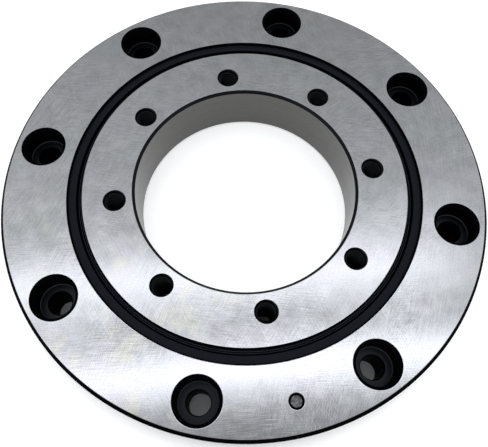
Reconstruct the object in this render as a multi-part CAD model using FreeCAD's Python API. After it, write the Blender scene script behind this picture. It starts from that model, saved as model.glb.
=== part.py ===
import FreeCAD, Part
import math
import os

# Crossed-roller slewing ring bearing, 120 x 55 x 15 mm, bolted through both rings, in millimetres.
# The origin is the centre of the bottom face, on the bearing axis.  +Z points to the face with the
# counterbores.  The roller filling plug and its lock pin are close to -Y.
# Sections are lists of (radius, height) points.  "Half" sections give the height above the middle
# plane, and closed_section() adds the mirrored half below it.

V = FreeCAD.Vector
ORIGIN = V(0, 0, 0)
UP = V(0, 0, 1)

# Envelope.
OUTER_R = 60.0
BORE_R = 27.5
WIDTH = 15.0
HALF_WIDTH = WIDTH / 2
OUTER_CHAMFER = 0.8
BORE_CHAMFER = 0.65

# Roller set.
PITCH_R = 42.5
ROLLER_COUNT = 36
ROLLER_R = 3.0
ROLLER_LENGTH = 5.8
ROLLER_END_CHAMFER = 0.3
ROLLER_CLEARANCE = 0.03

# V raceways at 45 degrees, each with a relief groove at its root.
RACE_OFFSET = (ROLLER_R + ROLLER_CLEARANCE) * math.sqrt(2)
RELIEF_HALF_WIDTH = 0.5
RELIEF_DEPTH = 0.65
INNER_LAND_R = 41.75
OUTER_LAND_R = 43.25

# Spacer retainers, one in every gap between two rollers and two in each file.
SPACER_R = 2.75
SPACER_HALF_LENGTH = 1.9
SPACERS_PER_NODE = 2

# Seal seats: a step round the inner ring and a groove with a snap undercut in the outer ring.
INNER_STEP_R = 40.5
INNER_STEP_DEPTH = 3.1
INNER_EDGE_CHAMFER = 0.15
SEAL_SEAT_R = 43.82
SEAL_SEAT_DEPTH = 2.9
SEAT_EDGE_CHAMFER = 0.3
UNDERCUT_R = 44.4
UNDERCUT_TOP_DEPTH = 1.4
UNDERCUT_FLOOR_DEPTH = 2.6
UNDERCUT_SLOPE = 0.3

# Seals: a flat band that snaps into the outer ring and a thin ribbed lip that reaches the inner ring.
SEAL_RECESS = 0.7
SEAL_BAND_R = 41.93
SEAL_BODY_R = 42.1
LIP_CLEARANCE = 0.08
LIP_UPPER_DEPTH = 1.66
LIP_LOWER_DEPTH = 2.3
LIP_EDGE_UPPER_DEPTH = 1.7
LIP_EDGE_LOWER_DEPTH = 1.92
LIP_TAPER_R = 41.05
RIB_HEIGHT = 0.28
RIB_HALF_WIDTH = 0.06
RIB_SLOPE = 0.08
RIB_RADII = (41.38, 40.93)

# Outer ring bolts: M5 socket cap screws, counterbored from the top.
BOLT_COUNT = 8
OUTER_BOLT_R = 52.5
OUTER_BOLT_START = 22.5
CLEARANCE_HOLE_R = 2.75
CLEARANCE_HOLE_CHAMFER = 0.2
COUNTERBORE_R = 4.75
COUNTERBORE_DEPTH = 5.4
COUNTERBORE_CHAMFER = 0.8

# Inner ring bolts: M5 tapped right through, drawn at the tapping drill size.
INNER_BOLT_R = 32.5
INNER_BOLT_START = -2.743
TAP_HOLE_R = 2.1
TAP_CHAMFER = 0.75

# Roller filling plug, radial, and the vertical 1:50 taper pin that locks it.
PLUG_ANGLE = -89.2
PLUG_R = 4.3
PLUG_CHAMFER = 0.2
PIN_RADIAL = 52.66
PIN_TOP_R = 1.3
PIN_SLOPE = 0.01
PIN_TOP_GAP = 0.25
PIN_BOTTOM_GAP = 0.6
PIN_HOLE_CHAMFER = 0.45

# Cutting tools reach this far past the faces they open into.
OVERCUT = 0.2


def lathe(points):
    """Turns a closed (radius, z) section into a solid round the Z axis."""
    corners = [V(r, 0, z) for r, z in points]
    face = Part.Face(Part.makePolygon(corners + corners[:1]))
    return face.revolve(ORIGIN, UP, 360)


def closed_section(half):
    """Mirrors a half section in the middle plane and lifts it so that the bottom face is at z = 0."""
    points = half + [(r, -h) for r, h in reversed(half)]
    return [(r, h + HALF_WIDTH) for r, h in points]


def radial(angle):
    """The unit vector pointing outwards at an angle in degrees."""
    return V(math.cos(math.radians(angle)), math.sin(math.radians(angle)), 0)


def bolt_circle(tool, radius, start):
    """Copies of a vertical tool, evenly spaced round a bolt circle."""
    places = [radial(start + 360 / BOLT_COUNT * i) * radius for i in range(BOLT_COUNT)]
    return [tool.translated(place) for place in places]


def rod(centre, direction, radius, length):
    """A cylinder centred on a point."""
    return Part.makeCylinder(radius, length, centre - direction * (length / 2), direction)


def outer_ring_blank():
    """The outer ring as turned, without holes."""
    root = PITCH_R + RACE_OFFSET
    half = [
        (root - RELIEF_HALF_WIDTH + RELIEF_DEPTH, RELIEF_HALF_WIDTH),
        (root - RELIEF_HALF_WIDTH, RELIEF_HALF_WIDTH),
        (OUTER_LAND_R, root - OUTER_LAND_R),
        (OUTER_LAND_R, HALF_WIDTH - SEAL_SEAT_DEPTH),
        (SEAL_SEAT_R, HALF_WIDTH - SEAL_SEAT_DEPTH),
        (SEAL_SEAT_R, HALF_WIDTH - UNDERCUT_FLOOR_DEPTH),
        (UNDERCUT_R, HALF_WIDTH - UNDERCUT_FLOOR_DEPTH + UNDERCUT_SLOPE),
        (UNDERCUT_R, HALF_WIDTH - UNDERCUT_TOP_DEPTH - UNDERCUT_SLOPE),
        (SEAL_SEAT_R, HALF_WIDTH - UNDERCUT_TOP_DEPTH),
        (SEAL_SEAT_R, HALF_WIDTH - SEAT_EDGE_CHAMFER),
        (SEAL_SEAT_R + SEAT_EDGE_CHAMFER, HALF_WIDTH),
        (OUTER_R - OUTER_CHAMFER, HALF_WIDTH),
        (OUTER_R, HALF_WIDTH - OUTER_CHAMFER),
    ]
    return lathe(closed_section(half))


def inner_ring_blank():
    """The inner ring as turned, without holes."""
    root = PITCH_R - RACE_OFFSET
    half = [
        (root + RELIEF_HALF_WIDTH - RELIEF_DEPTH, RELIEF_HALF_WIDTH),
        (root + RELIEF_HALF_WIDTH, RELIEF_HALF_WIDTH),
        (INNER_LAND_R, INNER_LAND_R - root),
        (INNER_LAND_R, HALF_WIDTH - INNER_STEP_DEPTH),
        (INNER_STEP_R, HALF_WIDTH - INNER_STEP_DEPTH),
        (INNER_STEP_R, HALF_WIDTH - INNER_EDGE_CHAMFER),
        (INNER_STEP_R - INNER_EDGE_CHAMFER, HALF_WIDTH),
        (BORE_R + BORE_CHAMFER, HALF_WIDTH),
        (BORE_R, HALF_WIDTH - BORE_CHAMFER),
    ]
    return lathe(closed_section(half))


def counterbored_hole():
    """The tool for one outer ring bolt hole, chamfered at both faces and at the counterbore floor."""
    floor = WIDTH - COUNTERBORE_DEPTH
    return lathe([
        (0, -OVERCUT),
        (CLEARANCE_HOLE_R + CLEARANCE_HOLE_CHAMFER + OVERCUT, -OVERCUT),
        (CLEARANCE_HOLE_R, CLEARANCE_HOLE_CHAMFER),
        (CLEARANCE_HOLE_R, floor - CLEARANCE_HOLE_CHAMFER),
        (CLEARANCE_HOLE_R + CLEARANCE_HOLE_CHAMFER, floor),
        (COUNTERBORE_R, floor),
        (COUNTERBORE_R, WIDTH - COUNTERBORE_CHAMFER),
        (COUNTERBORE_R + COUNTERBORE_CHAMFER + OVERCUT, WIDTH + OVERCUT),
        (0, WIDTH + OVERCUT),
    ])


def tapped_hole():
    """The tool for one inner ring bolt hole, countersunk at both faces."""
    return lathe([
        (0, -OVERCUT),
        (TAP_HOLE_R + TAP_CHAMFER + OVERCUT, -OVERCUT),
        (TAP_HOLE_R, TAP_CHAMFER),
        (TAP_HOLE_R, WIDTH - TAP_CHAMFER),
        (TAP_HOLE_R + TAP_CHAMFER + OVERCUT, WIDTH + OVERCUT),
        (0, WIDTH + OVERCUT),
    ])


def pin_radius(z):
    """The radius of the taper pin and its hole at a height."""
    return PIN_TOP_R - (WIDTH - z) * PIN_SLOPE


def pin_hole():
    """The tool for the taper pin's hole, chamfered at the top face."""
    tool = lathe([
        (0, -OVERCUT),
        (pin_radius(-OVERCUT), -OVERCUT),
        (pin_radius(WIDTH - PIN_HOLE_CHAMFER), WIDTH - PIN_HOLE_CHAMFER),
        (PIN_TOP_R + PIN_HOLE_CHAMFER + OVERCUT, WIDTH + OVERCUT),
        (0, WIDTH + OVERCUT),
    ])
    return tool.translated(radial(PLUG_ANGLE) * PIN_RADIAL)


def lock_pin():
    """The taper pin, a little below the face at both ends."""
    low = PIN_BOTTOM_GAP
    high = WIDTH - PIN_TOP_GAP
    pin = lathe([(0, low), (pin_radius(low), low), (pin_radius(high), high), (0, high)])
    return pin.translated(radial(PLUG_ANGLE) * PIN_RADIAL)


def seal_section():
    """One seal's half section: the snap bead, the flat band, the ribbed top of the lip and its edge."""
    lip_r = INNER_STEP_R + LIP_CLEARANCE
    lip_top = HALF_WIDTH - LIP_UPPER_DEPTH
    points = [
        (SEAL_BODY_R, HALF_WIDTH - SEAL_SEAT_DEPTH),
        (SEAL_SEAT_R, HALF_WIDTH - SEAL_SEAT_DEPTH),
        (SEAL_SEAT_R, HALF_WIDTH - UNDERCUT_FLOOR_DEPTH),
        (UNDERCUT_R, HALF_WIDTH - UNDERCUT_FLOOR_DEPTH + UNDERCUT_SLOPE),
        (UNDERCUT_R, HALF_WIDTH - UNDERCUT_TOP_DEPTH - UNDERCUT_SLOPE),
        (SEAL_SEAT_R, HALF_WIDTH - UNDERCUT_TOP_DEPTH),
        (SEAL_SEAT_R, HALF_WIDTH - SEAL_RECESS),
        (SEAL_BAND_R, HALF_WIDTH - SEAL_RECESS),
    ]
    for rib_r in RIB_RADII:
        points += [
            (rib_r + RIB_HALF_WIDTH + RIB_SLOPE, lip_top),
            (rib_r + RIB_HALF_WIDTH, lip_top + RIB_HEIGHT),
            (rib_r - RIB_HALF_WIDTH, lip_top + RIB_HEIGHT),
            (rib_r - RIB_HALF_WIDTH - RIB_SLOPE, lip_top),
        ]
    points += [
        (lip_r, HALF_WIDTH - LIP_EDGE_UPPER_DEPTH),
        (lip_r, HALF_WIDTH - LIP_EDGE_LOWER_DEPTH),
        (LIP_TAPER_R, HALF_WIDTH - LIP_LOWER_DEPTH),
        (SEAL_BODY_R, HALF_WIDTH - LIP_LOWER_DEPTH),
    ]
    return points


def seal(side):
    """The upper seal for side +1, the lower seal for side -1."""
    return lathe([(r, HALF_WIDTH + side * h) for r, h in seal_section()])


def roller_place(index):
    """The centre of a roller and its axis, which leans outwards or inwards in turn."""
    out = radial(360 / ROLLER_COUNT * index)
    lean = 1 if index % 2 == 0 else -1
    return out * PITCH_R + UP * HALF_WIDTH, (out * lean + UP) / math.sqrt(2)


def roller(index):
    """A cylindrical roller with chamfered ends."""
    centre, axis = roller_place(index)
    end = ROLLER_LENGTH / 2
    blank = lathe([
        (0, -end),
        (ROLLER_R - ROLLER_END_CHAMFER, -end),
        (ROLLER_R, ROLLER_END_CHAMFER - end),
        (ROLLER_R, end - ROLLER_END_CHAMFER),
        (ROLLER_R - ROLLER_END_CHAMFER, end),
        (0, end),
    ])
    blank.Placement = FreeCAD.Placement(centre, FreeCAD.Rotation(UP, axis))
    return blank


def spacer(index):
    """The round spacer after a roller, hollowed on each side to fit the roller next to it."""
    angle = 360 / ROLLER_COUNT * (index + 0.5)
    centre = radial(angle) * PITCH_R + UP * HALF_WIDTH
    body = rod(centre, radial(angle + 90), SPACER_R, 2 * SPACER_HALF_LENGTH)
    neighbours = [roller_place(index), roller_place(index + 1)]
    pockets = [rod(place, axis, ROLLER_R + ROLLER_CLEARANCE, 4 * ROLLER_R) for place, axis in neighbours]
    return body.cut(pockets)


def chamfer_outer_end(plug):
    """Breaks the plug's edge where it meets the outside diameter, so that its outline shows."""
    middle = radial(PLUG_ANGLE) * OUTER_R + UP * HALF_WIDTH
    outer = [edge for edge in plug.Edges if edge.CenterOfMass.distanceToPoint(middle) < PLUG_R]
    return plug.makeChamfer(PLUG_CHAMFER, outer)


def single(shape):
    """The one solid inside a boolean's result."""
    if len(shape.Solids) != 1:
        raise ValueError("a piece came out as %d solids" % len(shape.Solids))
    return shape.Solids[0]


def save(name, shape):
    """Writes one node's STEP file."""
    if not shape.isValid():
        raise ValueError(name + " is not valid")
    shape.exportStep("parts/" + name + ".step")


os.makedirs("parts", exist_ok=True)

plug_middle = radial(PLUG_ANGLE) * OUTER_R + UP * HALF_WIDTH
plug_bore = rod(plug_middle, radial(PLUG_ANGLE), PLUG_R, 2 * (OUTER_R - PITCH_R))
outer_blank = outer_ring_blank()
outer_holes = bolt_circle(counterbored_hole(), OUTER_BOLT_R, OUTER_BOLT_START)
inner_holes = bolt_circle(tapped_hole(), INNER_BOLT_R, INNER_BOLT_START)

save("outer_ring", single(outer_blank.cut(outer_holes + [plug_bore, pin_hole()])))
plug = chamfer_outer_end(single(outer_blank.common(plug_bore)))
save("insertion_plug", single(plug.cut(pin_hole())))
save("plug_lock_pin", lock_pin())
save("inner_ring", single(inner_ring_blank().cut(inner_holes)))
save("upper_seal", seal(1))
save("lower_seal", seal(-1))
for i in range(ROLLER_COUNT):
    save("roller_%02d" % (i + 1), roller(i))
for i in range(ROLLER_COUNT // SPACERS_PER_NODE):
    group = [single(spacer(i * SPACERS_PER_NODE + j)) for j in range(SPACERS_PER_NODE)]
    save("spacer_pair_%02d" % (i + 1), Part.makeCompound(group))
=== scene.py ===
import math

import bmesh
import bpy
from mathutils import Matrix, Vector, noise
from mathutils.geometry import tessellate_polygon


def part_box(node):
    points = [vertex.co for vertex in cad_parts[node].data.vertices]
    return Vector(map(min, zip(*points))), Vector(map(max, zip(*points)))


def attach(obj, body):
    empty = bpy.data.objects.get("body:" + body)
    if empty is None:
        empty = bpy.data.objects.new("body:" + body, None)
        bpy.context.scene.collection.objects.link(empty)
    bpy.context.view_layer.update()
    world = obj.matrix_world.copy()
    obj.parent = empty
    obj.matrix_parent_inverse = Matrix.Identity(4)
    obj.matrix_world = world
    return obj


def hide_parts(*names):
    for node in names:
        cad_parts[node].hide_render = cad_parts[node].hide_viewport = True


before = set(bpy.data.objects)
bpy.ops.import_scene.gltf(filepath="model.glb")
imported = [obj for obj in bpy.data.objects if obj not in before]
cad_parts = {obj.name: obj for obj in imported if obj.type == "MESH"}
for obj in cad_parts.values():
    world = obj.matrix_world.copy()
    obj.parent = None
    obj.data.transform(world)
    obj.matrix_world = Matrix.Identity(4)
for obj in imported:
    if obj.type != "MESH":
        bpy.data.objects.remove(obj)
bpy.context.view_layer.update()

# The looks of a crossed-roller slewing ring.  The visible rings, seals and lock pin are rebuilt here
# as finer meshes, with broken edges, real threads and a hammered pin end.  The plug, rollers and
# spacers are the CAD nodes with better materials.  Sections are in millimetres, meshes in metres.
# A section's point is (radius, height, finish), and its finish is that of the stretch that starts
# there.  "Half" sections give the height above the middle plane.

MM = 0.001
SEGMENTS = 384
HOLE_SEGMENTS = 72

# Sizes that the CAD boxes give.
ring_low, ring_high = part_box("outer_ring")
inner_low, inner_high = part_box("inner_ring")
OUTER_R = (ring_high.x - ring_low.x) / 2 / MM
WIDTH = (ring_high.z - ring_low.z) / MM
HALF_WIDTH = WIDTH / 2
INNER_LAND_R = (inner_high.x - inner_low.x) / 2 / MM

# The other sizes are the ones the CAD is made from.  Rings and raceways.
OUTER_CHAMFER = 0.8
BORE_R = 27.5
BORE_CHAMFER = 0.65
PITCH_R = 42.5
ROLLER_R = 3.0
ROLLER_CLEARANCE = 0.03
RACE_OFFSET = (ROLLER_R + ROLLER_CLEARANCE) * math.sqrt(2)
RELIEF_HALF_WIDTH = 0.5
RELIEF_DEPTH = 0.65
OUTER_LAND_R = 43.25

# Seal seats and seals.
INNER_STEP_R = 40.5
INNER_STEP_DEPTH = 3.1
INNER_EDGE_CHAMFER = 0.15
SEAL_SEAT_R = 43.82
SEAL_SEAT_DEPTH = 2.9
SEAT_EDGE_CHAMFER = 0.3
UNDERCUT_R = 44.4
UNDERCUT_TOP_DEPTH = 1.4
UNDERCUT_FLOOR_DEPTH = 2.6
UNDERCUT_SLOPE = 0.3
SEAL_RECESS = 0.7
SEAL_BAND_R = 41.93
SEAL_BODY_R = 42.1
LIP_CLEARANCE = 0.08
LIP_UPPER_DEPTH = 1.66
LIP_LOWER_DEPTH = 2.3
LIP_EDGE_UPPER_DEPTH = 1.7
LIP_EDGE_LOWER_DEPTH = 1.92
LIP_TAPER_R = 41.05
RIB_HEIGHT = 0.28
RIB_HALF_WIDTH = 0.06
RIB_SLOPE = 0.08
RIB_RADII = (41.38, 40.93)

# Bolt holes.
BOLT_COUNT = 8
OUTER_BOLT_R = 52.5
OUTER_BOLT_START = 22.5
CLEARANCE_HOLE_R = 2.75
CLEARANCE_HOLE_CHAMFER = 0.2
COUNTERBORE_R = 4.75
COUNTERBORE_DEPTH = 5.4
COUNTERBORE_CHAMFER = 0.8
INNER_BOLT_R = 32.5
INNER_BOLT_START = -2.743

# Lock pin and plug.
PIN_SLOPE = 0.01
PIN_TOP_R = 1.3
PIN_HOLE_CHAMFER = 0.45
PLUG_R = 4.3

# The cutter for the plug's bore.
CUTTER_COLUMNS = 128
CUTTER_NEAR_R = 40
CUTTER_FAR_R = 64
WALL_TOLERANCE = 0.01

# M5 x 0.8 internal thread.  Each step of a turn is (share of the pitch, share of the depth).
THREAD_PITCH = 0.8
THREAD_MINOR_R = 2.067
THREAD_MAJOR_R = 2.5
THREAD_MOUTH_R = 2.85
THREAD_STEPS = ((0.0, 0.0), (0.25, 0.0), (0.40625, 0.5), (0.5625, 1.0), (0.6875, 1.0), (0.84375, 0.5))
UPPER_FLANK = (1, 2)
THREAD_COLUMNS = 48

# Every sharp edge is broken by this radius, and flat faces keep a narrow band round every hole.
EDGE_BREAK = 0.06
RUBBER_BREAK = 0.05
BREAK_STEPS = 2
FLAT_TURN = math.radians(5)
FLOOR_FILLET = 0.24
SUPPORT = 0.12
SHARP_ANGLE = math.radians(40)

# The driven end of the pin.  Each dent is (fineness, seed, depth).
PIN_COLUMNS = 64
PIN_EDGE_BREAK = 0.26
PIN_EDGE_WIDTH = 0.5
PIN_FOOT_MIDDLE_R = 0.02
PIN_END_RINGS = 14
PIN_DENT_FADE_RINGS = 3
PIN_DOME = 0.05
PIN_DENTS = ((2.2, 4.7, 0.11), (6, 1.3, 0.05))

# Finishes of the steel and of the rubber, lightest first.  DULL is on the thread flanks that face up
# and on the chamfers of the bore.
LAPPED, CYLINDER, SATIN, DULL, BLACK = range(5)
# The rubber's first finish is a painted highlight on the ribs and the lip, lighter and glossier than the
# rubber itself, and its last is painted shade in the grooves, darker and duller.
PAINTED_HIGHLIGHT, RUBBER, PAINTED_SHADE = range(3)
PIN_STEEL = 0

# Camera: which way it looks, where it stands in millimetres, its lens and its clip distances in metres.
CAMERA_AZIMUTH, CAMERA_ELEVATION, CAMERA_ROLL = (math.radians(x) for x in (-13.345, 67.637, 2.423))
CAMERA_PLACE = (-13.921, -58.906, 136.350)
CAMERA_LENS = 40.055
SENSOR_WIDTH = 36
CAMERA_CLIP = (0.005, 20)

# Studio floor, in metres.  It gives off a little light inside the bore and beyond the ring.
FLOOR_HALF = 4.0
BORE_GLOW_EDGE = (0.0275, 0.0290)
BORE_GLOW_CENTRE = (-0.004, -0.032, 0)
BORE_GLOW_FADE = (0.024, 0.050)
BORE_GLOW_LEVELS = (0.64, 0.40)
RIM_GLOW_EDGE = (0.0595, 0.0640)
RIM_GLOW_LEVEL = 0.33

# Room light by the depth of a direction, from -1 behind the camera to 1 behind the ring.
ROOM_TINT = (0.978, 1.0, 1.015)
ROOM_TURN = 0.25
ROOM_LEVELS = (
    (-1.0, 0.6), (-0.86, 0.9), (-0.70, 1.25), (-0.30, 1.45), (-0.20, 0.95), (-0.10, 0.36), (0.0, 0.36),
    (0.06, 0.50), (0.13, 0.82), (0.20, 0.72), (0.30, 0.76), (0.36, 0.74), (0.42, 0.62), (0.50, 0.55),
    (0.60, 0.47), (0.72, 0.36), (0.84, 1.2), (1.0, 1.2),
)
ROOM_SIDE_START = 0.54
ROOM_SIDE_FADE = 0.16
ROOM_SIDE_LEVEL = 0.5
HORIZON_TOP = 0.30
HORIZON_FADE = 0.14
HORIZON_LEVEL = 1.12

# Rows of ceiling light: (place, slant, half width, level, middle, half length) on a ceiling at height 1.
CEILING_TINT = (0.99, 1.0, 1.09)
CEILING_ROWS = (
    (0.125, 0.09, 0.038, 1.75, 0.0, 0.52),
    (0.302, 0.12, 0.052, 1.25, -0.01, 0.51),
    (0.235, 0.0, 0.050, 0.26, -0.40, 0.18),
    (0.355, 0.0, 0.045, 0.30, 0.38, 0.17),
)
CEILING_LOWEST = 0.2
CEILING_END_SHARPNESS = 8

# The lapped faces' dry oil stains lie round this place.
OIL_STAIN = (-0.034, -0.029, 0.015)
SCRATCH_STRENGTHS = (0.65, 0.85, 0.95, 0.65)


# ---------------------------------------------------------------- mesh building

def broken(points, radius):
    """Rounds the corners of an open section, except its two ends.  A rounded edge takes the darker
    finish of the two it joins."""
    out = [points[0]]
    for before, corner, after in zip(points, points[1:], points[2:]):
        p, c, n = (Vector(x[:2]) for x in (before, corner, after))
        into, away = c - p, n - c
        turn = into.angle(away)
        if turn < FLAT_TURN:
            out.append(corner)
            continue
        reach = min(radius * math.tan(turn / 2), into.length * 0.45, away.length * 0.45)
        start, end = c - into.normalized() * reach, c + away.normalized() * reach
        finish = max(before[2], corner[2])
        for i in range(BREAK_STEPS + 1):
            t = i / BREAK_STEPS
            q = start * (1 - t) ** 2 + c * (2 * t * (1 - t)) + end * t ** 2
            out.append((q.x, q.y, corner[2] if i == BREAK_STEPS else finish))
    out.append(points[-1])
    return out


def mirrored(half, across):
    """Completes a half section below the middle plane.  The stretch across that plane gets its own
    finish, and the others below it have those of their images above it."""
    below = [(r, HALF_WIDTH - h) for r, h, _ in reversed(half)]
    finishes = [finish for _, _, finish in reversed(half[:-1])] + [across]
    lower = [(r, z, finish) for (r, z), finish in zip(below, finishes)]
    return lower + [(r, HALF_WIDTH + h, finish) for r, h, finish in half]


class Shell:
    """A mesh made of rings of points round vertical axes, joined by bands and filled faces."""

    def __init__(self):
        self.points = []
        self.travels = []
        self.faces = []
        self.finishes = []

    def point(self, centre, radius, angle, z, travel=0.0):
        """Adds a point at a radius and an angle round a centre.  Its travel is how far along the
        section it lies, which the turned materials read."""
        x = centre[0] + radius * math.cos(angle)
        y = centre[1] + radius * math.sin(angle)
        self.points.append((x * MM, y * MM, z * MM))
        self.travels.append(travel * MM)
        return len(self.points) - 1

    def ring(self, radius, z, count, centre=(0, 0), travel=0.0):
        """Adds a circle of points."""
        return [self.point(centre, radius, 2 * math.pi * i / count, z, travel) for i in range(count)]

    def face(self, corners, finish):
        """Adds a face, without repeated corners, unless nothing is left of it."""
        kept = list(dict.fromkeys(corners))
        if len(kept) > 2:
            self.faces.append(kept)
            self.finishes.append(finish)

    def band(self, a, b, finish):
        """Joins two rings of the same count."""
        count = len(a)
        for i in range(count):
            j = (i + 1) % count
            self.face((a[i], a[j], b[j], b[i]), finish)

    def wall(self, line, count, centre=(0, 0), closed=False):
        """Sweeps a section round an axis and returns its first and last rings."""
        rings, travel = [], 0.0
        for i, (r, z, _) in enumerate(line):
            if i:
                travel += math.dist(line[i - 1][:2], (r, z))
            rings.append(self.ring(r, z, count, centre, travel))
        for i in range(len(rings) - 1):
            self.band(rings[i], rings[i + 1], line[i][2])
        if closed:
            self.band(rings[-1], rings[0], line[-1][2])
        return rings[0], rings[-1]

    def fill(self, loops, finish):
        """Triangulates a flat face with holes.  The first loop is the outside."""
        flat = [i for loop in loops for i in loop]
        coords = [[Vector(self.points[i]) for i in loop] for loop in loops]
        for tri in tessellate_polygon(coords):
            self.face([flat[k] for k in tri], finish)

    def thread(self, centre):
        """A right-hand internal thread running out into a countersink at both faces.
        Returns the rings at the bottom and top faces."""
        low, high = (self.ring(THREAD_MOUTH_R, z, THREAD_COLUMNS, centre) for z in (0, WIDTH))
        per_turn = len(THREAD_STEPS)
        turns = math.ceil(WIDTH / THREAD_PITCH) + 2
        grid = []
        for i in range(turns * per_turn):
            along, deep = THREAD_STEPS[i % per_turn]
            cut_r = THREAD_MINOR_R + (THREAD_MAJOR_R - THREAD_MINOR_R) * deep
            row = []
            for j in range(THREAD_COLUMNS):
                z = THREAD_PITCH * (i // per_turn - 1 + along + j / THREAD_COLUMNS)
                if z <= 0:
                    row.append(low[j])
                elif z >= WIDTH:
                    row.append(high[j])
                else:
                    r = max(cut_r, THREAD_MOUTH_R - min(z, WIDTH - z))
                    row.append(self.point(centre, r, 2 * math.pi * j / THREAD_COLUMNS, z, z))
            grid.append(row)
        for i in range(len(grid) - per_turn - 1):
            for j in range(THREAD_COLUMNS):
                k = (j + 1) % THREAD_COLUMNS
                up = per_turn if k == 0 else 0
                self.face((grid[i][j], grid[i + up][k], grid[i + up + 1][k], grid[i + 1][j]),
                          DULL if i % per_turn in UPPER_FLANK else BLACK)
        return low, high

    def build(self, name, materials):
        """Makes the object."""
        mesh = bpy.data.meshes.new(name)
        mesh.from_pydata(self.points, [], self.faces)
        mesh.validate()
        for m in materials:
            mesh.materials.append(m)
        mesh.polygons.foreach_set("material_index", self.finishes)
        travel = mesh.attributes.new("turn", "FLOAT", "POINT")
        travel.data.foreach_set("value", self.travels)
        obj = bpy.data.objects.new(name, mesh)
        bpy.context.scene.collection.objects.link(obj)
        return obj


def outward(obj):
    """Points every face of a closed mesh outwards and shades it smooth between real edges."""
    bm = bmesh.new()
    bm.from_mesh(obj.data)
    bmesh.ops.recalc_face_normals(bm, faces=bm.faces)
    bm.to_mesh(obj.data)
    bm.free()
    obj.data.polygons.foreach_set("use_smooth", [True] * len(obj.data.polygons))
    obj.data.set_sharp_from_angle(angle=SHARP_ANGLE)
    weighted = obj.modifiers.new("even_shading", "WEIGHTED_NORMAL")
    weighted.keep_sharp = True
    return obj


def bake(obj):
    """Replaces an object's mesh by the one that its modifiers make of it."""
    bpy.context.view_layer.update()
    made = bpy.data.meshes.new_from_object(obj.evaluated_get(bpy.context.evaluated_depsgraph_get()))
    obj.modifiers.clear()
    old, obj.data = obj.data, made
    bpy.data.meshes.remove(old)


def bolt_centres(radius, start):
    """The middles of a bolt circle's holes."""
    angles = (math.radians(start + 360 / BOLT_COUNT * i) for i in range(BOLT_COUNT))
    return [(radius * math.cos(a), radius * math.sin(a)) for a in angles]


# ---------------------------------------------------------------- the pieces

def pin_place():
    """The lock pin's axis, from its CAD box."""
    low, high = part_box("plug_lock_pin")
    return (low.x + high.x) / 2 / MM, (low.y + high.y) / 2 / MM


def outer_ring_inside():
    """The raceway and the seal seats of the outer ring."""
    root = PITCH_R + RACE_OFFSET
    seat = HALF_WIDTH - SEAL_SEAT_DEPTH
    return mirrored([
        (root - RELIEF_HALF_WIDTH + RELIEF_DEPTH, RELIEF_HALF_WIDTH, BLACK),
        (root - RELIEF_HALF_WIDTH, RELIEF_HALF_WIDTH, CYLINDER),
        (OUTER_LAND_R, root - OUTER_LAND_R, BLACK),
        (OUTER_LAND_R, seat, BLACK),
        (SEAL_SEAT_R, seat, BLACK),
        (SEAL_SEAT_R, HALF_WIDTH - UNDERCUT_FLOOR_DEPTH, BLACK),
        (UNDERCUT_R, HALF_WIDTH - UNDERCUT_FLOOR_DEPTH + UNDERCUT_SLOPE, BLACK),
        (UNDERCUT_R, HALF_WIDTH - UNDERCUT_TOP_DEPTH - UNDERCUT_SLOPE, BLACK),
        (SEAL_SEAT_R, HALF_WIDTH - UNDERCUT_TOP_DEPTH, BLACK),
        (SEAL_SEAT_R, HALF_WIDTH - SEAT_EDGE_CHAMFER, BLACK),
        (SEAL_SEAT_R + SEAT_EDGE_CHAMFER, HALF_WIDTH, LAPPED),
        (SEAL_SEAT_R + SEAT_EDGE_CHAMFER + SUPPORT, HALF_WIDTH, LAPPED),
    ], BLACK)


def outer_ring_outside():
    """The outer wall and its chamfers."""
    return mirrored([
        (OUTER_R, HALF_WIDTH - OUTER_CHAMFER, BLACK),
        (OUTER_R - OUTER_CHAMFER, HALF_WIDTH, LAPPED),
        (OUTER_R - OUTER_CHAMFER - SUPPORT, HALF_WIDTH, LAPPED),
    ], CYLINDER)


def counterbored_hole():
    """A bolt hole of the outer ring, from the bottom up.  A fillet joins the counterbore's floor to its
    wall."""
    floor = WIDTH - COUNTERBORE_DEPTH
    return [
        (CLEARANCE_HOLE_R + CLEARANCE_HOLE_CHAMFER + SUPPORT, 0, LAPPED),
        (CLEARANCE_HOLE_R + CLEARANCE_HOLE_CHAMFER, 0, BLACK),
        (CLEARANCE_HOLE_R, CLEARANCE_HOLE_CHAMFER, BLACK),
        (CLEARANCE_HOLE_R, floor - CLEARANCE_HOLE_CHAMFER, BLACK),
        (CLEARANCE_HOLE_R + CLEARANCE_HOLE_CHAMFER, floor, SATIN),
        (COUNTERBORE_R - FLOOR_FILLET, floor, SATIN),
        (COUNTERBORE_R, floor + FLOOR_FILLET / 2, BLACK),
        (COUNTERBORE_R, WIDTH - COUNTERBORE_CHAMFER, BLACK),
        (COUNTERBORE_R + COUNTERBORE_CHAMFER, WIDTH, LAPPED),
        (COUNTERBORE_R + COUNTERBORE_CHAMFER + SUPPORT, WIDTH, LAPPED),
    ]


def pin_radius(z):
    """The radius of the taper pin and its hole at a height."""
    return PIN_TOP_R - (WIDTH - z) * PIN_SLOPE


def pin_hole():
    """The taper hole, from the bottom up."""
    return [
        (pin_radius(0) + SUPPORT, 0, LAPPED),
        (pin_radius(0), 0, BLACK),
        (pin_radius(WIDTH - PIN_HOLE_CHAMFER), WIDTH - PIN_HOLE_CHAMFER, BLACK),
        (PIN_TOP_R + PIN_HOLE_CHAMFER, WIDTH, LAPPED),
        (PIN_TOP_R + PIN_HOLE_CHAMFER + SUPPORT, WIDTH, LAPPED),
    ]


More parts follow.
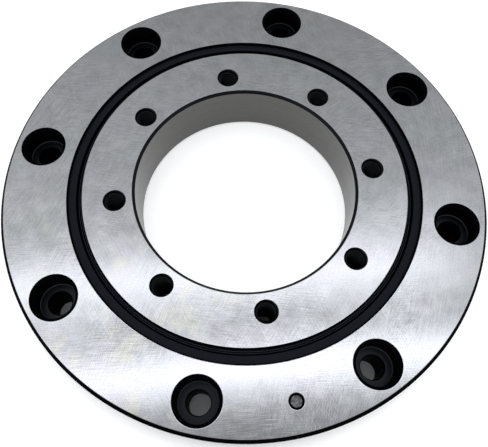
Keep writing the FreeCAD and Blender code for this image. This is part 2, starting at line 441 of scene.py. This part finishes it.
def outer_ring_mesh(materials):
    """The outer ring, with its bolt holes, the pin's hole and the plug's bore."""
    shell = Shell()
    in_low, in_high = shell.wall(broken(outer_ring_inside(), EDGE_BREAK), SEGMENTS)
    out_low, out_high = shell.wall(broken(outer_ring_outside(), EDGE_BREAK), SEGMENTS)
    bolt_hole = broken(counterbored_hole(), EDGE_BREAK)
    bolts = bolt_centres(OUTER_BOLT_R, OUTER_BOLT_START)
    holes = [shell.wall(bolt_hole, HOLE_SEGMENTS, centre) for centre in bolts]
    holes.append(shell.wall(broken(pin_hole(), EDGE_BREAK), HOLE_SEGMENTS, pin_place()))
    shell.fill([out_low, in_low] + [low for low, _ in holes], LAPPED)
    shell.fill([out_high, in_high] + [high for _, high in holes], LAPPED)
    ring = outward(shell.build("outer_ring_ground", materials))
    cut_plug_bore(ring)
    outward(ring)
    round_outer_wall(ring)
    return ring


def plug_bore_cutter():
    """A closed cylinder along the plug's axis."""
    cutter = bpy.data.objects.new("plug_bore_cutter", bpy.data.meshes.new("plug_bore_cutter"))
    bpy.context.scene.collection.objects.link(cutter)
    out = Vector((*pin_place(), 0)).normalized()
    side = out.cross(Vector((0, 0, 1)))
    points = []
    for reach in (CUTTER_NEAR_R, CUTTER_FAR_R):
        for i in range(CUTTER_COLUMNS):
            a = 2 * math.pi * (i + 0.5) / CUTTER_COLUMNS
            point = out * reach + side * (PLUG_R * math.cos(a))
            point.z = HALF_WIDTH + PLUG_R * math.sin(a)
            points.append(point * MM)
    near = list(range(CUTTER_COLUMNS))
    far = [CUTTER_COLUMNS + i for i in near]
    following = near[1:] + near[:1]
    sides = [(i, k, far[k], far[i]) for i, k in zip(near, following)]
    cutter.data.from_pydata(points, [], sides + [near, far])
    return outward(cutter)


def cut_plug_bore(ring):
    """Cuts the radial bore that the plug fills."""
    cutter = plug_bore_cutter()
    cutter.data.materials.append(ring.data.materials[BLACK])
    cut = ring.modifiers.new("plug_bore", "BOOLEAN")
    cut.operation, cut.solver, cut.object = "DIFFERENCE", "EXACT", cutter
    cut.material_mode = "TRANSFER"
    bake(ring)
    bpy.data.objects.remove(cutter)


def round_outer_wall(ring):
    """Gives the outer wall the normals of a true cylinder, which the slender faces beside the plug
    bore would otherwise lose."""
    bake(ring)
    mesh = ring.data
    normals = [Vector(corner.vector) for corner in mesh.corner_normals]
    for face in mesh.polygons:
        corners = [mesh.vertices[i].co for i in face.vertices]
        if all(abs(math.hypot(c.x, c.y) - OUTER_R * MM) < WALL_TOLERANCE * MM for c in corners):
            for loop, c in zip(face.loop_indices, corners):
                normals[loop] = Vector((c.x, c.y, 0)).normalized()
    mesh.normals_split_custom_set(normals)


def inner_ring_outside():
    """The raceway and the seal steps of the inner ring."""
    root = PITCH_R - RACE_OFFSET
    return mirrored([
        (root + RELIEF_HALF_WIDTH - RELIEF_DEPTH, RELIEF_HALF_WIDTH, BLACK),
        (root + RELIEF_HALF_WIDTH, RELIEF_HALF_WIDTH, CYLINDER),
        (INNER_LAND_R, INNER_LAND_R - root, BLACK),
        (INNER_LAND_R, HALF_WIDTH - INNER_STEP_DEPTH, BLACK),
        (INNER_STEP_R, HALF_WIDTH - INNER_STEP_DEPTH, BLACK),
        (INNER_STEP_R, HALF_WIDTH - INNER_EDGE_CHAMFER, BLACK),
        (INNER_STEP_R - INNER_EDGE_CHAMFER, HALF_WIDTH, LAPPED),
        (INNER_STEP_R - INNER_EDGE_CHAMFER - SUPPORT, HALF_WIDTH, LAPPED),
    ], BLACK)


def inner_ring_bore():
    """The bore and its chamfers."""
    return mirrored([
        (BORE_R, HALF_WIDTH - BORE_CHAMFER, DULL),
        (BORE_R + BORE_CHAMFER, HALF_WIDTH, LAPPED),
        (BORE_R + BORE_CHAMFER + SUPPORT, HALF_WIDTH, LAPPED),
    ], CYLINDER)


def inner_ring_mesh(materials):
    """The inner ring, with its tapped holes."""
    shell = Shell()
    out_low, out_high = shell.wall(broken(inner_ring_outside(), EDGE_BREAK), SEGMENTS)
    bore_low, bore_high = shell.wall(broken(inner_ring_bore(), EDGE_BREAK), SEGMENTS)
    holes = []
    for centre in bolt_centres(INNER_BOLT_R, INNER_BOLT_START):
        rims = []
        for ring, z in zip(shell.thread(centre), (0, WIDTH)):
            rim = shell.ring(THREAD_MOUTH_R + SUPPORT, z, THREAD_COLUMNS, centre)
            shell.band(ring, rim, LAPPED)
            rims.append(rim)
        holes.append(rims)
    shell.fill([out_low, bore_low] + [low for low, _ in holes], LAPPED)
    shell.fill([out_high, bore_high] + [high for _, high in holes], LAPPED)
    return outward(shell.build("inner_ring_ground", materials))


def seal_section(side):
    """The upper seal's section for side +1, the lower seal's for side -1.  It starts and ends in the
    middle of its last stretch, so that every corner can be rounded."""
    lip_r = INNER_STEP_R + LIP_CLEARANCE
    lip_top = HALF_WIDTH - LIP_UPPER_DEPTH
    half = [
        (SEAL_BODY_R, HALF_WIDTH - SEAL_SEAT_DEPTH, RUBBER),
        (SEAL_SEAT_R, HALF_WIDTH - SEAL_SEAT_DEPTH, RUBBER),
        (SEAL_SEAT_R, HALF_WIDTH - UNDERCUT_FLOOR_DEPTH, RUBBER),
        (UNDERCUT_R, HALF_WIDTH - UNDERCUT_FLOOR_DEPTH + UNDERCUT_SLOPE, RUBBER),
        (UNDERCUT_R, HALF_WIDTH - UNDERCUT_TOP_DEPTH - UNDERCUT_SLOPE, RUBBER),
        (SEAL_SEAT_R, HALF_WIDTH - UNDERCUT_TOP_DEPTH, RUBBER),
        (SEAL_SEAT_R, HALF_WIDTH - SEAL_RECESS, RUBBER),
        (SEAL_BAND_R, HALF_WIDTH - SEAL_RECESS, PAINTED_SHADE),
    ]
    # The grooves beside the ribs carry painted shade, and the ribs and the lip beyond them a painted
    # highlight.
    for rib_r, after in zip(RIB_RADII, (PAINTED_SHADE, PAINTED_HIGHLIGHT)):
        half += [
            (rib_r + RIB_HALF_WIDTH + RIB_SLOPE, lip_top, PAINTED_HIGHLIGHT),
            (rib_r + RIB_HALF_WIDTH, lip_top + RIB_HEIGHT, PAINTED_HIGHLIGHT),
            (rib_r - RIB_HALF_WIDTH, lip_top + RIB_HEIGHT, PAINTED_HIGHLIGHT),
            (rib_r - RIB_HALF_WIDTH - RIB_SLOPE, lip_top, after),
        ]
    half += [
        (lip_r, HALF_WIDTH - LIP_EDGE_UPPER_DEPTH, RUBBER),
        (lip_r, HALF_WIDTH - LIP_EDGE_LOWER_DEPTH, RUBBER),
        (LIP_TAPER_R, HALF_WIDTH - LIP_LOWER_DEPTH, RUBBER),
        (SEAL_BODY_R, HALF_WIDTH - LIP_LOWER_DEPTH, RUBBER),
    ]
    line = [(r, HALF_WIDTH + side * h, finish) for r, h, finish in half]
    middle = Vector(line[0][:2]).lerp(Vector(line[-1][:2]), 0.5)
    seam = (middle.x, middle.y, RUBBER)
    return [seam] + line + [seam]


def seal_mesh(name, side, materials):
    """One seal."""
    shell = Shell()
    shell.wall(broken(seal_section(side), RUBBER_BREAK)[:-1], SEGMENTS, closed=True)
    return outward(shell.build(name, materials))


def pin_mesh(material):
    """The taper pin, with its driven end dented by the hammer."""
    low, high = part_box("plug_lock_pin")
    centre = pin_place()
    foot, top = low.z / MM, high.z / MM
    foot_r, top_r = pin_radius(foot), pin_radius(top)
    end_r = top_r - PIN_EDGE_WIDTH
    line = [(PIN_FOOT_MIDDLE_R, foot, PIN_STEEL), (foot_r, foot, PIN_STEEL), (top_r, top, PIN_STEEL),
            (end_r, top, PIN_STEEL)]
    shell = Shell()
    first, last = shell.wall(broken(line, PIN_EDGE_BREAK), PIN_COLUMNS, centre)
    shell.face(first, PIN_STEEL)
    rings = [last]
    for i in range(1, PIN_END_RINGS):
        r = end_r * (1 - i / PIN_END_RINGS)
        middle = top + PIN_DOME * (1 - (r / top_r) ** 2)
        ring = []
        for j in range(PIN_COLUMNS):
            a = 2 * math.pi * j / PIN_COLUMNS
            z = middle + pin_dent(r * math.cos(a), r * math.sin(a)) * min(1, i / PIN_DENT_FADE_RINGS)
            ring.append(shell.point(centre, r, a, z))
        rings.append(ring)
    for a, b in zip(rings, rings[1:]):
        shell.band(a, b, PIN_STEEL)
    shell.face(rings[-1], PIN_STEEL)
    return outward(shell.build("plug_lock_pin_driven", [material]))


def pin_dent(x, y):
    """How far the hammer raised or sank a place on the pin's end."""
    return sum(noise.noise(Vector((x * fine, y * fine, seed))) * depth for fine, seed, depth in PIN_DENTS)


# ---------------------------------------------------------------- materials

class NodeTree:
    """Short ways to write a node tree.  A value is a number, a tuple or another node's output."""

    def __init__(self, tree):
        self.tree = tree

    def put(self, socket, value):
        """Sets a socket to a constant, or links an output to it."""
        if isinstance(value, (int, float, tuple)):
            socket.default_value = value
        else:
            self.tree.links.new(value, socket)

    def math(self, operation, *values):
        """The result of an operation on some values."""
        node = self.tree.nodes.new("ShaderNodeMath")
        node.operation = operation
        for socket, value in zip(node.inputs, values):
            self.put(socket, value)
        return node.outputs[0]

    def total(self, values):
        """The sum of some values."""
        if len(values) == 1:
            return values[0]
        return self.math("ADD", values[0], self.total(values[1:]))

    def weighted(self, *terms):
        """The sum of (value, weight) terms."""
        return self.total([self.math("MULTIPLY", value, weight) for value, weight in terms])

    def centred(self, value):
        """Noise moved so that its middle is zero."""
        return self.math("SUBTRACT", value, 0.5)

    def clamped(self, value):
        """A value kept between zero and one."""
        return self.math("MINIMUM", self.math("MAXIMUM", value, 0), 1)

    def split(self, vector):
        """A vector's three components."""
        node = self.tree.nodes.new("ShaderNodeSeparateXYZ")
        self.put(node.inputs[0], vector)
        return node.outputs[0], node.outputs[1], node.outputs[2]

    def joined(self, *components):
        """A vector of up to three components."""
        node = self.tree.nodes.new("ShaderNodeCombineXYZ")
        for socket, value in zip(node.inputs, components):
            self.put(socket, value)
        return node.outputs[0]


class Material(NodeTree):
    """A principled material, written in object coordinates."""

    def __init__(self, name):
        self.material = bpy.data.materials.new(name)
        self.material.use_nodes = True
        super().__init__(self.material.node_tree)
        self.shader = self.tree.nodes["Principled BSDF"]
        self.where = self.tree.nodes.new("ShaderNodeTexCoord").outputs["Object"]

    def set(self, **values):
        """Sets inputs of the shader, with _ for a space in their names."""
        for key, value in values.items():
            self.put(self.shader.inputs[key.replace("_", " ")], value)

    def shifted(self, shift):
        """Object coordinates moved by a vector."""
        node = self.tree.nodes.new("ShaderNodeMapping")
        self.put(node.inputs["Location"], shift)
        self.put(node.inputs["Vector"], self.where)
        return node.outputs[0]

    def stretched(self, scale, turn=0.0, shift=(0, 0, 0)):
        """Object coordinates turned about Z in degrees, moved, and then scaled, which needs a second
        mapping node because one node scales first."""
        turned = self.tree.nodes.new("ShaderNodeMapping")
        self.put(turned.inputs["Rotation"], (0, 0, math.radians(turn)))
        self.put(turned.inputs["Location"], shift)
        self.put(turned.inputs["Vector"], self.where)
        scaled = self.tree.nodes.new("ShaderNodeMapping")
        self.put(scaled.inputs["Scale"], scale)
        self.put(scaled.inputs["Vector"], turned.outputs[0])
        return scaled.outputs[0]

    def noise(self, vector, scale, detail, rough=0.5):
        """A noise pattern between zero and one."""
        node = self.tree.nodes.new("ShaderNodeTexNoise")
        self.put(node.inputs["Scale"], scale)
        self.put(node.inputs["Detail"], detail)
        self.put(node.inputs["Roughness"], rough)
        self.put(node.inputs["Vector"], vector)
        return node.outputs["Fac"]

    def distance_to(self, place):
        """How far every point lies from a place."""
        node = self.tree.nodes.new("ShaderNodeVectorMath")
        node.operation = "DISTANCE"
        self.put(node.inputs[0], self.where)
        self.put(node.inputs[1], place)
        return node.outputs["Value"]

    def spread(self, value, low, high, to_low=0.0, to_high=1.0):
        """Maps low..high to to_low..to_high and holds it there beyond."""
        node = self.tree.nodes.new("ShaderNodeMapRange")
        for name, number in (("From Min", low), ("From Max", high), ("To Min", to_low), ("To Max", to_high)):
            self.put(node.inputs[name], number)
        self.put(node.inputs["Value"], value)
        return node.outputs[0]

    def tinted(self, factor, a, b):
        """The colour between a, at zero, and b, at one."""
        node = self.tree.nodes.new("ShaderNodeMix")
        node.data_type = "RGBA"
        self.put(node.inputs["Factor"], factor)
        for socket, value in ((node.inputs[6], a), (node.inputs[7], b)):
            self.put(socket, (*value, 1) if isinstance(value, tuple) else value)
        return node.outputs[2]

    def bump(self, height, distance, after=None):
        """A bumped normal, on top of an earlier one if it is given."""
        node = self.tree.nodes.new("ShaderNodeBump")
        self.put(node.inputs["Strength"], 1.0)
        self.put(node.inputs["Distance"], distance)
        self.put(node.inputs["Height"], height)
        if after is not None:
            self.put(node.inputs["Normal"], after)
        return node.outputs[0]

    def end(self, colour, roughness, normal):
        """Links the shader's last three inputs and returns the material."""
        for name, value in (("Base Color", colour), ("Roughness", roughness), ("Normal", normal)):
            self.put(self.shader.inputs[name], value)
        return self.material


def shades(tone, *tints):
    """Each of some tints, made lighter or darker."""
    return [tuple(tone * c for c in tint) for tint in tints]


def arcs(n, pole, along, across):
    """Coordinates that turn noise into long arcs round a point beside the ring."""
    off = n.tree.nodes.new("ShaderNodeVectorMath")
    off.operation = "SUBTRACT"
    n.put(off.inputs[0], n.where)
    n.put(off.inputs[1], (*pole, 0))
    x, y, _ = n.split(off.outputs[0])
    distance = n.math("SQRT", n.math("ADD", n.math("MULTIPLY", x, x), n.math("MULTIPLY", y, y)))
    turn = n.math("MULTIPLY", n.math("ARCTAN2", y, x), along * math.hypot(*pole))
    return n.joined(turn, n.math("MULTIPLY", distance, across))


def scratches(n, shift):
    """Fine grain and sparse marks in four directions: arcs round two points beside the ring, and two
    straight ones.  Each direction shows more in some patches than in others."""
    poles = ((-0.10, 0.035 + shift * 0.1), (0.075, -0.085))
    directions = [(arcs(n, pole, 240, 4300), arcs(n, pole, 55, 3000)) for pole in poles]
    for turn in (8 + 30 * shift, 71):
        directions.append((n.stretched((240, 4500, 1), turn, (shift, shift, 0)),
                           n.stretched((60, 3200, 1), turn + 7, (shift, shift, 0))))
    grain, marks = [], []
    for i, ((short, long), strength) in enumerate(zip(directions, SCRATCH_STRENGTHS)):
        patch = n.noise(n.shifted((0.3 * i, shift, 0)), 40 + 6 * i, 1)
        patch = n.spread(patch, 0.44, 0.62, 0.15 * strength, 1.15 * strength)
        grain.append(n.math("MULTIPLY", n.centred(n.noise(short, 1, 1)), patch))
        marks.append(n.math("MULTIPLY", n.spread(n.noise(long, 1, 1), 0.69, 0.74), patch))
    return n.total(grain), n.total(marks)


def lapped_steel(name, shift):
    """Flat ground faces: crossing arcs and straight scratches, cloudy mottling, faint violet tints and
    a few dry oil stains."""
    n = Material(name)
    n.set(Metallic=1.0)
    grain, marks = scratches(n, shift)
    sand = n.noise(n.where, 4200, 1)
    cloud = n.noise(n.shifted((shift, 0.2, 0)), 250, 4, 0.62)
    broad = n.noise(n.shifted((shift, 0.7, 0)), 90, 3, 0.6)
    shade = n.weighted((grain, 0.72), (n.centred(cloud), 0.62), (n.centred(sand), 0.55), (marks, 0.09))
    level = n.spread(shade, -0.34, 0.34)
    steel = n.tinted(level, (0.395, 0.405, 0.415), (0.695, 0.705, 0.72))
    violet = n.tinted(level, (0.405, 0.398, 0.425), (0.71, 0.70, 0.735))
    steel = n.tinted(n.spread(broad, 0.45, 0.62), steel, violet)
    from_stain = n.math("ADD", n.distance_to(OIL_STAIN), n.weighted((n.centred(broad), 0.05)))
    stain = n.spread(n.noise(n.shifted((0.9, shift, 0)), 130, 5, 0.72), 0.50, 0.66, 0, 0.75)
    stain = n.math("MULTIPLY", stain, n.spread(from_stain, 0.016, 0.034, 1, 0.12))
    oiled = n.tinted(level, (0.52, 0.51, 0.445), (0.78, 0.765, 0.68))
    steel = n.tinted(stain, steel, oiled)
    rough = n.math("ADD", n.spread(cloud, 0.3, 0.7, 0.10, 0.14),
                   n.weighted((grain, 0.06), (marks, 0.03), (stain, 0.03)))
    height = n.math("SUBTRACT", grain, n.weighted((marks, 0.3)))
    waves = n.bump(cloud, 0.000004)
    return n.end(steel, rough, n.bump(height, 0.0000018, after=waves))


def turned_coordinates(n, along, across):
    """Object coordinates squeezed so that noise makes long streaks round the axis."""
    x, y, z = n.split(n.where)
    travel = n.tree.nodes.new("ShaderNodeAttribute")
    travel.attribute_name = "turn"
    return n.joined(n.math("MULTIPLY", x, along), n.math("MULTIPLY", y, along),
                    n.weighted((travel.outputs["Fac"], across), (z, across * 0.31)))


def ground_steel(name, tone):
    """Cylindrical ground faces: fine lines round the axis."""
    n = Material(name)
    n.set(Metallic=1.0)
    lines = n.noise(n.stretched((70, 70, 6800)), 1, 3, 0.7)
    bands = n.noise(n.stretched((25, 25, 900)), 1, 2)
    cloud = n.noise(n.where, 90, 3, 0.6)
    mixed = n.weighted((lines, 0.55), (bands, 0.45))
    dark, light, cool = shades(tone, (0.89, 0.865, 0.825), (1.11, 1.085, 1.045), (1.08, 1.1, 1.12))
    steel = n.tinted(n.spread(mixed, 0.3, 0.7), dark, light)
    steel = n.tinted(n.spread(cloud, 0.35, 0.7, 0, 0.35), steel, cool)
    rough = n.math("ADD", n.spread(cloud, 0.3, 0.7, 0.26, 0.33), n.weighted((n.centred(lines), 0.2)))
    return n.end(steel, rough, n.bump(mixed, 0.00001))


def blackened_steel(name, gloss):
    """Turned and drilled surfaces left dark by heat treatment."""
    n = Material(name)
    n.set(Metallic=0.0, Specular_IOR_Level=gloss, Specular_Tint=(0.80, 0.88, 1.0, 1))
    marks = n.noise(turned_coordinates(n, 60, 3800), 1, 2, 0.6)
    cloud = n.noise(n.where, 160, 4, 0.6)
    mixed = n.weighted((marks, 0.5), (cloud, 0.5))
    black = n.tinted(n.spread(mixed, 0.35, 0.65), (0.0004, 0.0004, 0.0007), (0.0018, 0.0017, 0.0023))
    rough = n.math("ADD", n.spread(cloud, 0.3, 0.7, 0.30, 0.42), n.weighted((n.centred(marks), 0.25)))
    return n.end(black, rough, n.bump(marks, 0.000016))


def seal_rubber(name, gloss, tone):
    """Moulded nitrile rubber: matt, charcoal, with a faint flow texture and a little dust."""
    n = Material(name)
    n.set(Specular_IOR_Level=gloss, Specular_Tint=(0.70, 0.76, 1.0, 1))
    flow = n.noise(turned_coordinates(n, 120, 2600), 1, 3, 0.6)
    pores = n.noise(n.where, 5200, 3, 0.6)
    cloud = n.noise(n.where, 110, 3, 0.6)
    dust = n.spread(n.noise(n.where, 2600, 2), 0.70, 0.78, 0, 0.35)
    dark, light = shades(tone, (0.0016, 0.0019, 0.0028), (0.0038, 0.0043, 0.0056))
    rubber = n.tinted(n.spread(cloud, 0.3, 0.7), dark, light)
    rubber = n.tinted(dust, rubber, (0.05, 0.052, 0.055))
    rough = n.spread(n.weighted((cloud, 0.6), (pores, 0.4)), 0.35, 0.65, 0.46, 0.62)
    height = n.weighted((flow, 0.5), (pores, 0.5))
    return n.end(rubber, rough, n.bump(height, 0.00002))


def hammered_steel(name):
    """The driven end of the pin."""
    n = Material(name)
    n.set(Metallic=1.0)
    dents = n.noise(n.where, 1500, 3, 0.6)
    fine = n.noise(n.where, 6000, 2, 0.6)
    mixed = n.weighted((dents, 0.7), (fine, 0.3))
    steel = n.tinted(n.spread(mixed, 0.32, 0.68), (0.012, 0.012, 0.014), (0.26, 0.26, 0.27))
    rough = n.spread(fine, 0.3, 0.7, 0.34, 0.52)
    return n.end(steel, rough, n.bump(mixed, 0.00012))


def roller_steel(name):
    """Superfinished rolling elements."""
    n = Material(name)
    n.set(Metallic=1.0)
    swirl = n.noise(n.where, 900, 3, 0.6)
    steel = n.tinted(n.spread(swirl, 0.3, 0.7), (0.56, 0.56, 0.565), (0.66, 0.66, 0.665))
    rough = n.spread(swirl, 0.3, 0.7, 0.10, 0.17)
    return n.end(steel, rough, n.bump(swirl, 0.000002))


def spacer_resin(name):
    """Moulded polyamide, a little yellow, with a satin skin."""
    n = Material(name)
    n.set(Specular_IOR_Level=0.45, Subsurface_Weight=0.1, Subsurface_Scale=0.001)
    cloud = n.noise(n.where, 500, 3, 0.6)
    pores = n.noise(n.where, 7000, 2, 0.6)
    resin = n.tinted(n.spread(cloud, 0.3, 0.7), (0.70, 0.66, 0.53), (0.78, 0.74, 0.62))
    return n.end(resin, n.spread(pores, 0.3, 0.7, 0.36, 0.5), n.bump(pores, 0.00001))


def studio_floor(name):
    """Pale paper, with a glow inside the bore and another beyond the ring, so that the background is as
    good as white.  No glow reaches the floor under the ring."""
    n = Material(name)
    fibre = n.noise(n.where, 45, 3, 0.6)
    paper = n.tinted(fibre, (0.955, 0.955, 0.95), (0.985, 0.985, 0.985))
    inside = n.math("MULTIPLY", n.spread(n.distance_to((0, 0, 0)), *BORE_GLOW_EDGE, 1.0, 0.0),
                    n.spread(n.distance_to(BORE_GLOW_CENTRE), *BORE_GLOW_FADE, *BORE_GLOW_LEVELS))
    beyond = n.spread(n.distance_to((0, 0, 0)), *RIM_GLOW_EDGE, 0.0, RIM_GLOW_LEVEL)
    glow = n.math("ADD", inside, beyond)
    n.set(Specular_IOR_Level=0.1, Emission_Color=(1, 1, 1, 1), Emission_Strength=glow)
    return n.end(paper, n.spread(fibre, 0.3, 0.7, 0.6, 0.75), n.bump(fibre, 0.0001))


# ---------------------------------------------------------------- camera, floor and light

def make_camera():
    """The camera, close above the near edge and looking down at the ring."""
    forward = Vector((-math.sin(CAMERA_AZIMUTH) * math.cos(CAMERA_ELEVATION),
                      math.cos(CAMERA_AZIMUTH) * math.cos(CAMERA_ELEVATION),
                      -math.sin(CAMERA_ELEVATION)))
    level_right = forward.cross(Vector((0, 0, 1))).normalized()
    level_up = level_right.cross(forward)
    right = level_right * math.cos(CAMERA_ROLL) + level_up * math.sin(CAMERA_ROLL)
    up = level_up * math.cos(CAMERA_ROLL) - level_right * math.sin(CAMERA_ROLL)
    data = bpy.data.cameras.new("camera")
    data.sensor_width = SENSOR_WIDTH
    data.lens = CAMERA_LENS
    data.clip_start, data.clip_end = CAMERA_CLIP
    camera = bpy.data.objects.new("camera", data)
    axes = Matrix((right, up, -forward)).transposed()
    camera.matrix_world = Matrix.Translation(Vector(CAMERA_PLACE) * MM) @ axes.to_4x4()
    bpy.context.scene.collection.objects.link(camera)
    bpy.context.scene.camera = camera


def make_floor(material):
    """A wide flat floor."""
    corners = [(x * FLOOR_HALF, y * FLOOR_HALF, 0) for x, y in ((-1, -1), (1, -1), (1, 1), (-1, 1))]
    mesh = bpy.data.meshes.new("studio_floor")
    mesh.from_pydata(corners, [], [(0, 1, 2, 3)])
    mesh.materials.append(material)
    floor = bpy.data.objects.new("studio_floor", mesh)
    bpy.context.scene.collection.objects.link(floor)


class Room(NodeTree):
    """The world's node tree."""

    def __init__(self, name):
        world = bpy.data.worlds.new(name)
        world.use_nodes = True
        bpy.context.scene.world = world
        super().__init__(world.node_tree)

    def tinted(self, level, tint, added=(0, 0, 0)):
        """The tint times the level, added to another colour."""
        node = self.tree.nodes.new("ShaderNodeVectorMath")
        node.operation = "MULTIPLY_ADD"
        self.put(node.inputs[0], tint)
        self.put(node.inputs[1], self.joined(level, level, level))
        self.put(node.inputs[2], added)
        return node.outputs[0]

    def by_depth(self, x, y):
        """The light of ROOM_LEVELS in a direction."""
        depth = self.weighted((x, math.sin(ROOM_TURN)), (y, math.cos(ROOM_TURN)))
        ramp = self.tree.nodes.new("ShaderNodeValToRGB")
        self.put(ramp.inputs[0], self.math("MULTIPLY_ADD", depth, 0.5, 0.5))
        stops = ramp.color_ramp.elements
        stops.remove(stops[-1])
        peak = max(level for _, level in ROOM_LEVELS)
        for i, (place, level) in enumerate(ROOM_LEVELS):
            position = (place + 1) / 2
            stop = stops[0] if i == 0 else stops.new(position)
            stop.position = position
            stop.color = (level / peak, level / peak, level / peak, 1)
        return self.math("MULTIPLY", ramp.outputs[0], peak)

    def ceiling_row(self, across, along, place, slant, half_width, level, middle, half_length):
        """One row of ceiling light, with soft sides and firmer ends."""
        ends = self.math("DIVIDE", self.math("ABSOLUTE", self.math("SUBTRACT", across, middle)), half_length)
        ends = self.math("MULTIPLY", self.math("POWER", ends, CEILING_END_SHARPNESS), -1)
        off = self.math("SUBTRACT", self.math("MULTIPLY_ADD", across, slant, along), place)
        off = self.math("DIVIDE", off, half_width)
        sides = self.math("MULTIPLY", self.math("MULTIPLY", off, off), -1)
        row = self.math("MULTIPLY", self.math("EXPONENT", sides), self.math("EXPONENT", ends))
        return self.math("MULTIPLY", row, level)


def make_world():
    """A soft room: bright behind the camera, dark straight overhead where the camera stands, softer
    beyond, and bright at the sides and along the horizon.  Rows of ceiling light run across it."""
    room = Room("soft_room")
    direction = room.tree.nodes.new("ShaderNodeTexCoord").outputs["Generated"]
    x, y, z = room.split(direction)
    side = room.math("SUBTRACT", room.math("ABSOLUTE", x), ROOM_SIDE_START)
    side = room.math("DIVIDE", side, ROOM_SIDE_FADE)
    light = room.math("ADD", room.by_depth(x, y), room.math("MULTIPLY", room.clamped(side), ROOM_SIDE_LEVEL))
    horizon = room.math("DIVIDE", room.math("SUBTRACT", HORIZON_TOP, z), HORIZON_FADE)
    light = room.math("MAXIMUM", light, room.math("MULTIPLY", room.clamped(horizon), HORIZON_LEVEL))
    height = room.math("MAXIMUM", z, CEILING_LOWEST)
    across, along = room.math("DIVIDE", x, height), room.math("DIVIDE", y, height)
    colour = room.tinted(light, ROOM_TINT)
    for row in CEILING_ROWS:
        colour = room.tinted(room.ceiling_row(across, along, *row), CEILING_TINT, colour)
    room.put(room.tree.nodes["Background"].inputs["Color"], colour)


# ---------------------------------------------------------------- the scene

make_camera()
make_floor(studio_floor("floor_paper"))
make_world()

satin = blackened_steel("satin_black_steel", 0.28)
dull = blackened_steel("tapped_steel", 0.10)
black = blackened_steel("blackened_steel", 0.004)
ground = ground_steel("ground_steel", 0.19)
bore = ground_steel("bore_steel", 0.094)
# The first and last seal materials are the same rubber as the middle one, with a painted highlight (lighter
# and glossier) and painted shade (darker and duller).
rubber = [seal_rubber("seal_painted_highlight", 0.5, 3.2), seal_rubber("seal_rubber", 0.2, 0.75),
          seal_rubber("seal_painted_shade", 0.03, 0.5)]

outer = outer_ring_mesh([lapped_steel("outer_ring_lapped", 0.0), ground, satin, dull, black])
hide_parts("outer_ring")
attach(outer, "outer_ring")

inner = inner_ring_mesh([lapped_steel("inner_ring_lapped", 0.31), bore, satin, dull, black])
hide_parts("inner_ring")
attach(inner, "inner_ring")

for node, side in (("upper_seal", 1), ("lower_seal", -1)):
    piece = seal_mesh(node + "_moulded", side, rubber)
    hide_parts(node)
    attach(piece, "outer_ring")

pin = pin_mesh(hammered_steel("hammered_steel"))
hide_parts("plug_lock_pin")
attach(pin, "outer_ring")

# The CAD nodes that stay, by the start of their names.
looks = {
    "insertion_plug": ground,
    "roller": roller_steel("roller_steel"),
    "spacer": spacer_resin("spacer_resin"),
}
for name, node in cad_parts.items():
    for start, material in looks.items():
        if name.startswith(start):
            node.data.materials.clear()
            node.data.materials.append(material)

bpy.context.scene.view_settings.view_transform = "Standard"
